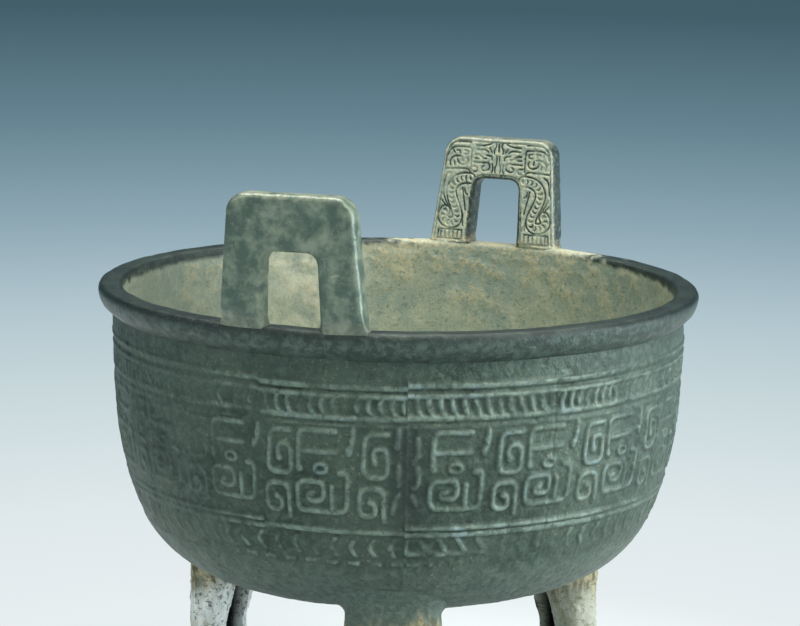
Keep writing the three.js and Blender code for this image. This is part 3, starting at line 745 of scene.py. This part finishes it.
def leg(name, direction, channel_at, leg_shade, material, seed):
    """A tapering leg, round outside, flat toward the axis with an open channel, on a hoof."""
    mesh = sheet_mesh(sheet(LEG_AROUND, LEG_ALONG), name)
    chart = read_points(mesh)
    nominal = LEG_TOP * np.minimum(chart[:, 1] / LEG_TOP_SHARE, 1) ** LEG_CROWDING
    width, inner, out = station_curves(nominal)
    outer = LEG_OUTER + out
    angle = chart[:, 0] * 2 * math.pi
    cos, sin = np.cos(angle), np.sin(angle)
    y = width / 2 * np.sign(cos) * np.abs(cos) ** (2 / LEG_SQUARENESS)
    x = (inner + outer) / 2 + (outer - inner) / 2 * np.sign(sin) * np.abs(sin) ** (2 / LEG_SQUARENESS)
    # the channel, with broken edges
    jag = grain(np.stack([np.full(len(y), seed * 7.0), np.sign(y) * 9, nominal], -1), 6.0, 3)
    half_slot = CHANNEL["width"] / 2 + 0.8 * jag
    ends = plateau(CHANNEL["bottom"] - 1, CHANNEL["bottom"] + 5, CHANNEL["fading"], CHANNEL["end"], nominal)
    beside_middle = np.abs(y - channel_at)
    in_channel = (1 - smooth(half_slot - 0.9, half_slot + 0.4, beside_middle)) * ends * (sin < 0)
    x = x + in_channel * (CHANNEL["floor"] - x)
    # scale on the skin, and the flare into the belly
    away = np.stack([x - LEG_CENTRE, y], -1)
    away /= np.maximum(np.linalg.norm(away, axis=1), 1e-6)[:, None]
    local_points = np.stack([x + seed * 40, y, nominal], -1)
    crust, fine = smooth(-0.1, 0.7, grain(local_points, 8, 4)), grain(local_points, 1.9, 3)
    lump = (0.55 * crust + 0.16 * fine) * plateau(8, 20, 84, 92, nominal)
    below = np.clip(LEG_TOP - nominal, 0, FLARE)
    flare = FLARE - np.sqrt(FLARE ** 2 - (FLARE - below) ** 2)
    grow = (lump - 0.45 + flare) * (1 - in_channel)
    x, y = x + away[:, 0] * grow, y + away[:, 1] * grow
    # the top closes toward the leg's own middle, just under the bowl's skin
    closing = 1 - 0.97 * np.clip((chart[:, 1] - LEG_TOP_SHARE) / (1 - LEG_TOP_SHARE), 0, 1)
    x, y = LEG_TOP_CENTRE + (x - LEG_TOP_CENTRE) * closing, y * closing
    # the upper rows follow the belly; the foot stands flat
    belly_z = RIM_HEIGHT - np.interp(arc_at_radius(np.clip(np.hypot(x, y), 5, 103)), ARC, ARC_DROP)
    lift = smooth(40, LEG_TOP, nominal)
    z = nominal * (1 - lift) + lift * (belly_z + 0.5) * (nominal / LEG_TOP)
    z = np.where(chart[:, 1] < 1e-6, 0, z)
    turn = math.radians(direction)
    points = np.stack([x * math.cos(turn) - y * math.sin(turn), x * math.sin(turn) + y * math.cos(turn), z], -1)
    write_points(mesh, points)
    # painted shade: on a leg given enough painted shade the far lip of the channel is painted as black as the
    # channel, for the shadow on it
    far_lip_shade = smooth(half_slot - 0.5, half_slot + 1.5, y - channel_at) * ends * (sin < 0.25)
    write_layers(mesh, channel=np.maximum(in_channel, far_lip_shade * (leg_shade > 0.2)), up=z / LEG_TOP,
                 soiled=np.full(len(z), leg_shade))
    close_up(mesh, gap=0.002)
    return finish_piece(name, mesh, material, crease=70)


# ------------------------------------------------------------------ finishes
def colour(hex_code):
    """An sRGB hex colour as linear RGBA."""
    channels = [int(hex_code[i:i + 2], 16) / 255 for i in (1, 3, 5)]
    return [c / 12.92 if c <= 0.04045 else ((c + 0.055) / 1.055) ** 2.4 for c in channels] + [1]


def put(tree, kind, values=None, **settings):
    """Adds a node with its settings; a value that is a socket is linked."""
    made = tree.nodes.new(kind)
    for name, value in settings.items():
        setattr(made, name, value)
    for name, value in (values or {}).items():
        socket = made.inputs[name]
        if isinstance(value, bpy.types.NodeSocket):
            tree.links.new(value, socket)
        else:
            socket.default_value = value
    return made


STREAK = (1, 1, 0.28)                  # streaked grains are this much drawn out down a piece


def new_finish(name, carried=(), grains=None, streaked=()):
    """A bare finish with what it is painted by: the layers that its meshes carry, and grains of
    noise, each with size in mm, detail, roughness and warp."""
    material = bpy.data.materials.new(name)
    material.use_nodes = True
    tree = material.node_tree
    tree.nodes.clear()
    place = put(tree, "ShaderNodeTexCoord").outputs["Object"]
    finish = SimpleNamespace(material=material, tree=tree, place=place)
    for layer in carried:
        setattr(finish, layer, put(tree, "ShaderNodeAttribute", attribute_name=layer).outputs["Fac"])
    for kind, (size, detail, roughness, warp) in (grains or {}).items():
        vector = place
        if kind in streaked:
            vector = put(tree, "ShaderNodeMapping", {"Vector": place, "Scale": STREAK}).outputs[0]
        setattr(finish, kind, put(tree, "ShaderNodeTexNoise", {
            "Vector": vector, "Scale": 1 / (size * MM), "Detail": detail, "Roughness": roughness,
            "Distortion": warp}).outputs["Fac"])
    return finish


def coats(finish, body, *layers):
    """Lays colours over a first one, each as far as its share times what follows it: a layer or
    a grain as it is, or with two levels, counting 0 at the first and 1 at the second."""
    tree = finish.tree
    for over, amount, *where in layers:
        for socket, *levels in where:
            if levels:
                between = {"Value": socket, "From Min": levels[0], "From Max": levels[1]}
                socket = put(tree, "ShaderNodeMapRange", between, interpolation_type="SMOOTHSTEP").outputs[0]
            amount = put(tree, "ShaderNodeMath", {0: socket, 1: amount}, operation="MULTIPLY").outputs[0]
        under, over = (colour(item) if isinstance(item, str) else item for item in (body, over))
        body = put(tree, "ShaderNodeMixRGB", {"Fac": amount, "Color1": under, "Color2": over}).outputs[0]
    return body


def surfaced(finish, body, metallic, roughness, bumps):
    """Closes a finish with its colour, metal, roughness and bumps: grain, depth in mm, strength."""
    tree, normal = finish.tree, {}
    for height, depth, strength in bumps:
        relief = {"Height": height, "Distance": depth * MM, "Strength": strength, **normal}
        normal = {"Normal": put(tree, "ShaderNodeBump", relief).outputs[0]}
    shader = put(tree, "ShaderNodeBsdfPrincipled", {
        "Base Color": body, "Metallic": metallic, "Roughness": roughness, **normal})
    put(tree, "ShaderNodeOutputMaterial", {"Surface": shader.outputs[0]})
    return finish.material


def buried_bronze():
    """Piece-mould cast tin bronze under a smooth dark green patina: cast lines rubbed paler,
    ground dark with earth, tan grains of old soil."""
    of = new_finish("cast_bronze_dark_green_patina", ["relief", "low", "smudge"], dict(
        slow=(30, 3, 0.55, 0), patches=(11, 5, 0.6, 0.3), speck=(1.3, 4, 0.7, 0), mottle=(3.2, 5, 0.7, 0.4),
        spots=(2.4, 3, 0.6, 0), fine=(0.7, 3, 0.6, 0)))
    # the bottom's paler colour is partly painted light, standing in for light thrown up from the bright floor
    bottom = coats(of, "#4a5a51", ("#627469", 1, (of.mottle, 0.35, 0.66)))
    tops = coats(of, "#64776b", ("#889c8f", 1, (of.mottle, 0.36, 0.62)))
    ground = coats(of, "#35463c", ("#4b5d52", 1, (of.slow, 0.35, 0.65)), ("#52655a", 1, (of.mottle, 0.42, 0.68)),
                   (bottom, 1, (of.low,)))
    # bluish bloom on the tops, dark earth by the seams, grains of soil, black spots
    body = coats(of, ground, (tops, 0.82, (of.relief, 0.2, 0.95)),
                 ("#8ba3a6", 0.55, (of.patches, 0.52, 0.66), (of.relief, 0.3, 1.0)),
                 ("#2c3934", 0.6, (of.smudge,)),
                 ("#94916f", 0.7, (of.speck, 0.56, 0.7), (of.slow, 0.4, 0.6)),
                 ("#2b3530", 0.6, (of.spots, 0.58, 0.72)))
    rough = put(of.tree, "ShaderNodeMapRange", {
        "Value": of.patches, "From Min": 0.3, "From Max": 0.7, "To Min": 0.42, "To Max": 0.6}).outputs[0]
    return surfaced(of, body, 0.35, rough, [(of.mottle, 0.9, 0.55), (of.speck, 0.35, 0.6), (of.fine, 0.12, 0.5)])


def bowl_patina():
    """The same bronze: a dark polished rim, and inside a rough crust of olive and tan
    corrosion with grey-green patches."""
    of = new_finish("cast_bronze_rim_and_crusted_inside", ["crust", "inside", "outer_face", "damp", "pale"], dict(
        slow=(34, 3, 0.55, 0), patches=(10, 5, 0.65, 0.4), speck=(1.6, 5, 0.75, 0), mottle=(3.2, 5, 0.7, 0.4),
        flecks=(1.1, 5, 0.8, 0), pits=(1.7, 5, 0.8, 0), fine=(0.8, 3, 0.6, 0)))
    outer = coats(of, "#34433c", ("#57695f", 1, (of.mottle, 0.38, 0.66)))
    rim = coats(of, "#202d2b", ("#34433d", 1, (of.patches, 0.4, 0.7)), (outer, 1, (of.outer_face,)),
                ("#6c7c73", 0.4, (of.speck, 0.55, 0.7)))
    # tan on the thick crust, tan flecks, dark pits, painted shade with some green stain at the ends, a pale run
    # by the far handle
    within = coats(of, "#97a79c", ("#a6b19e", 1, (of.slow, 0.36, 0.64)), ("#b6bda8", 1, (of.patches, 0.42, 0.66)),
                   ("#cfc49e", 0.8, (of.crust, 0.1, 0.9), (of.speck, 0.42, 0.6)),
                   ("#cbbf94", 0.7, (of.flecks, 0.54, 0.62), (of.slow, 0.4, 0.56)),
                   ("#5f6b5e", 0.6, (of.pits, 0.52, 0.64)),
                   ("#535f50", 0.55, (of.damp,)),
                   ("#d6d7bf", 0.7, (of.pale,), (of.patches, 0.3, 0.6)))
    body = coats(of, rim, (within, 1, (of.inside,)))
    metal, rough = (
        put(of.tree, "ShaderNodeMapRange", {"Value": of.inside, "To Min": bare, "To Max": crusted}).outputs[0]
        for bare, crusted in ((0.35, 0.05), (0.36, 0.75)))
    return surfaced(of, body, metal, rough, [(of.mottle, 0.6, 0.5), (of.speck, 0.5, 0.7), (of.fine, 0.15, 0.5)])


def handle_bronze(name, faces, sides, soiled, lumps):
    """Cast bronze with pale tan-green corrosion on the ornament, dark in the grooves, and a
    smooth dark edge polished by handling."""
    of = new_finish(name, ["groove", "face", "above"], dict(
        patches=(7, 5, 0.6, 0.4), speck=(1.5, 4, 0.7, 0), mottle=(lumps, 6, 0.62, 0),
        stain=(lumps * 1.6, 3, 0.5, 0), soil=(2, 5, 0.75, 0)))
    front = coats(of, faces[0], (faces[1], 1, (of.mottle, 0.36, 0.66)),
                  ("#d6cda2", 0.5, (of.speck, 0.48, 0.66)),
                  ("#93a9a4", 0.5, (of.patches, 0.5, 0.62)),
                  ("#4b5a4e", 0.5, (of.stain, 0.58, 0.7)),
                  ("#4f625c", 0.6, (of.groove, 0.25, 1.0)))
    # the edge, the face on it, paler along the crown, soiled at the foot
    body = coats(of, sides[0], (sides[1], 1, (of.mottle, 0.38, 0.7)), ("#a9a98d", 0.3, (of.speck, 0.56, 0.68)),
                 (front, 1, (of.face,)),
                 ("#a9ae9a", 0.48, (of.above, 0.92, 1.0), (of.patches, 0.36, 0.56)),
                 ("#a9a283", soiled, (of.above, 0.11, 0.01), (of.soil, 0.35, 0.62)))
    rough = put(of.tree, "ShaderNodeMapRange", {"Value": of.face, "To Min": 0.38, "To Max": 0.6}).outputs[0]
    return surfaced(of, body, 0.22, rough, [(of.mottle, 0.5, 0.5), (of.speck, 0.2, 0.6)])


def crusted_leg():
    """Bronze leg under thick pale corrosion: cream-white scale with dark flecks, rust-brown and tan runs near the
    bowl, and the open channel painted near black for the shadow in it; on some legs painted shade darkens the
    scale."""
    of = new_finish("cast_bronze_cream_scale", ["channel", "up", "soiled"], dict(
        streak=(3.2, 5, 0.6, 0.3), patches=(8, 4, 0.6, 0), flake=(2.0, 5, 0.75, 0.6), fine=(0.7, 3, 0.6, 0)),
        streaked=("streak", "patches"))
    # the last coat is painted shade: each leg's cream scale is darkened by its share, for the light it misses
    scale = coats(of, "#e2eae2", ("#fafcf8", 1, (of.streak, 0.38, 0.62)),
                  ("#b3a47a", 0.6, (of.patches, 0.55, 0.7)),
                  ("#4a5a56", 0.85, (of.flake, 0.53, 0.6)), ("#8f9276", 1, (of.soiled,)))
    root = coats(of, "#5d5c42", ("#b0a884", 1, (of.streak, 0.4, 0.6)), ("#404b40", 0.7, (of.flake, 0.5, 0.6)))
    skin = coats(of, "#4a5a51", ("#627469", 1, (of.flake, 0.4, 0.62)))
    # up the leg, with a ragged edge: scale, then the stained root, then the belly's own patina
    height = put(of.tree, "ShaderNodeMath", {0: of.patches, 1: 0.3, 2: of.up},
                 operation="MULTIPLY_ADD").outputs[0]
    # the last coat is painted shade: near black in the channel and on a shaded leg's far lip, for the shadow
    # there
    body = coats(of, scale, (root, 1, (height, 0.73, 0.85)), (skin, 1, (height, 0.92, 1.02)),
                 ("#0e1414", 1, (of.channel, 0.1, 0.6)))
    return surfaced(of, body, 0.05, 0.72, [(of.flake, 0.6, 0.7), (of.fine, 0.15, 0.5)])


# ------------------------------------------------------------------ studio
SWEEP_FLOOR, SWEEP_BEND, SWEEP_WALL, SWEEP_STEPS = 1.35, 0.8, 1.2, 12     # in metres
# reach outward and up, in metres, and the colour of the painted glow there
SWEEP_SHADES = [(0.2, "#e8eff1"), (0.42, "#dfe8eb"), (0.68, "#cbdadd"), (1.05, "#afc4cd"), (1.5, "#88a3af"),
                (1.75, "#648290"), (2.0, "#435f6a"), (2.6, "#34505b")]
GLOW_FROM, GLOW_FULL = 0.12, 0.28


def studio_paper():
    """Painted studio paper: pale grey under the vessel, and farther out a painted glow standing in for the
    studio's light on it, shading outward and up to teal."""
    of = new_finish("painted_studio_sweep")
    apart = put(of.tree, "ShaderNodeSeparateXYZ", {"Vector": of.place}).outputs
    flat = put(of.tree, "ShaderNodeCombineXYZ", {"X": apart["X"], "Y": apart["Y"]}).outputs[0]
    out = put(of.tree, "ShaderNodeVectorMath", {0: flat}, operation="LENGTH").outputs["Value"]
    reach = put(of.tree, "ShaderNodeMath", {0: out, 1: apart["Z"]}, operation="ADD").outputs[0]
    longest = SWEEP_SHADES[-1][0]
    share = put(of.tree, "ShaderNodeMath", {0: reach, 1: longest}, operation="DIVIDE").outputs[0]
    shade = put(of.tree, "ShaderNodeValToRGB", {"Fac": share})
    stops = shade.color_ramp.elements
    for place_out, hex_code in SWEEP_SHADES[1:-1]:
        stops.new(place_out / longest).color = colour(hex_code)
    stops[0].position, stops[0].color = SWEEP_SHADES[0][0] / longest, colour(SWEEP_SHADES[0][1])
    stops[-1].position, stops[-1].color = 1, colour(SWEEP_SHADES[-1][1])
    paper = put(of.tree, "ShaderNodeBsdfPrincipled", {"Base Color": colour("#c4cccf"), "Roughness": 0.9})
    glow = put(of.tree, "ShaderNodeEmission", {"Color": shade.outputs[0], "Strength": 1.0})
    lit = put(of.tree, "ShaderNodeMapRange", {"Value": reach, "From Min": GLOW_FROM, "From Max": GLOW_FULL},
              interpolation_type="SMOOTHSTEP")
    mixed = put(of.tree, "ShaderNodeMixShader", {0: lit.outputs[0], 1: paper.outputs[0], 2: glow.outputs[0]})
    put(of.tree, "ShaderNodeOutputMaterial", {"Surface": mixed.outputs[0]})
    return of.material


def drawn_on(bm):
    """Draws a sheet's open edge on, and gives the points of the new edge."""
    made = bmesh.ops.extrude_edge_only(bm, edges=[edge for edge in bm.edges if edge.is_boundary])
    return [item for item in made["geom"] if isinstance(item, bmesh.types.BMVert)]


def studio_sweep():
    """A round paper sweep: a flat floor that curves up all round into a wall."""
    bm = bmesh.new()
    bmesh.ops.create_circle(bm, cap_ends=True, segments=96, radius=SWEEP_FLOOR)
    radius = SWEEP_FLOOR
    for step in range(1, SWEEP_STEPS + 1):
        turn = step / SWEEP_STEPS * math.pi / 2
        wide, high = SWEEP_FLOOR + SWEEP_BEND * math.sin(turn), SWEEP_BEND * (1 - math.cos(turn))
        for vert in drawn_on(bm):
            vert.co = Vector((vert.co.x / radius * wide, vert.co.y / radius * wide, high))
        radius = wide
    bmesh.ops.translate(bm, verts=drawn_on(bm), vec=(0, 0, SWEEP_WALL))
    bmesh.ops.recalc_face_normals(bm, faces=bm.faces)
    bmesh.ops.reverse_faces(bm, faces=bm.faces)
    mesh = sheet_mesh(bm, "studio_sweep")
    mesh.shade_smooth()
    mesh.materials.append(studio_paper())
    sweep = new_object("studio_sweep", mesh)


LENS, EYE_ABOVE, EYE_AWAY = 125.4, 9.3, 9.3    # mm, degrees above the rim, rim radii from its middle
YAW, PITCH, ROLL = -0.03, -0.67, -1.0          # how the camera is turned off the rim's middle


def studio_camera():
    """A long lens a little above the rim, standing well back."""
    above = math.radians(EYE_ABOVE)
    ahead, right = Vector((0, math.cos(above), -math.sin(above))), Vector((1, 0, 0))
    up = right.cross(ahead)
    eye = Vector((0, 0, RIM_HEIGHT * MM)) - EYE_AWAY * RIM_RADIUS * MM * ahead
    yaw, pitch, roll = (Matrix.Rotation(math.radians(angle), 3, axis)
                        for angle, axis in ((YAW, up), (PITCH, right), (ROLL, ahead)))
    ahead, up = pitch @ (yaw @ ahead), pitch @ up
    right, up = roll @ (yaw @ right), roll @ up
    lens = bpy.data.cameras.new("camera")
    lens.sensor_width, lens.lens, lens.clip_end = 36, LENS, 20
    camera = new_object("camera", lens)
    camera.matrix_world = Matrix.Translation(eye) @ Matrix((right, up, -ahead)).transposed().to_4x4()
    bpy.context.scene.camera = camera


# name, where it hangs, what it is aimed at, size in metres, power, tint
SOFTBOXES = [
    ("key_softbox", (0.95, -0.9, 1.6), (0, 0, 0.15), 1.0, 25, "#fffaf0"),
    ("left_softbox", (-1.3, -0.7, 1.0), (0, 0, 0.15), 1.0, 8, "#fbfcf6"),
    ("right_softbox", (1.3, -0.15, 0.3), (0, 0, 0.1), 0.7, 17, "#f2f8ff"),
    ("low_softbox", (0.5, -1.1, 0.06), (0, 0, 0.05), 0.8, 2.5, "#f4faff"),
    ("top_softbox", (0.0, 0.5, 1.9), (0, 0, 0.1), 1.2, 40, "#fffcf4"),
]


def studio_lights():
    world = bpy.data.worlds.new("studio_air")
    world.use_nodes = True
    air = world.node_tree.nodes["Background"].inputs
    air["Color"].default_value, air["Strength"].default_value = colour("#dfe8ee"), 0.35
    bpy.context.scene.world = world
    for name, place, aim, size, power, tint in SOFTBOXES:
        light = bpy.data.lights.new(name, "AREA")
        light.shape, light.size, light.energy, light.color = "DISK", size, power, colour(tint)[:3]
        lamp = new_object(name, light)
        lamp.location = place
        lamp.rotation_euler = (Vector(aim) - Vector(place)).to_track_quat("-Z", "Y").to_euler()


studio_camera()
studio_lights()
studio_sweep()

bronze = buried_bronze()
legs_finish = crusted_leg()
bowl(bowl_patina())
blank = section_blank()
for section_name, section_seam in zip(("front_right_section", "back_section", "front_left_section"), SEAMS):
    belly_section(section_name, section_seam, blank, bronze)
bpy.data.meshes.remove(blank)
far_bronze = handle_bronze("handle_bronze_grey_green_corrosion", faces=("#a8b8ab", "#e0e3ca"),
                           sides=("#2b3835", "#5a6a61"), soiled=0.85, lumps=1.5)
handle("far_handle", FAR_HANDLE, far_bronze, edge_round=1.6, ornament=1.0, worn=0.15)
near_bronze = handle_bronze("handle_bronze_worn_green", faces=("#5f7266", "#8f9e8a"),
                            sides=("#52665b", "#8d9a86"), soiled=0.25, lumps=6.5)
handle("near_handle", NEAR_HANDLE, near_bronze, edge_round=2.4, ornament=0.7, worn=0.8)
for number, (leg_name, (leg_direction, channel_at, leg_shade)) in enumerate(LEGS.items()):
    leg(leg_name, leg_direction, channel_at, leg_shade, legs_finish, number + 1)

bpy.context.scene.view_settings.view_transform = "Standard"
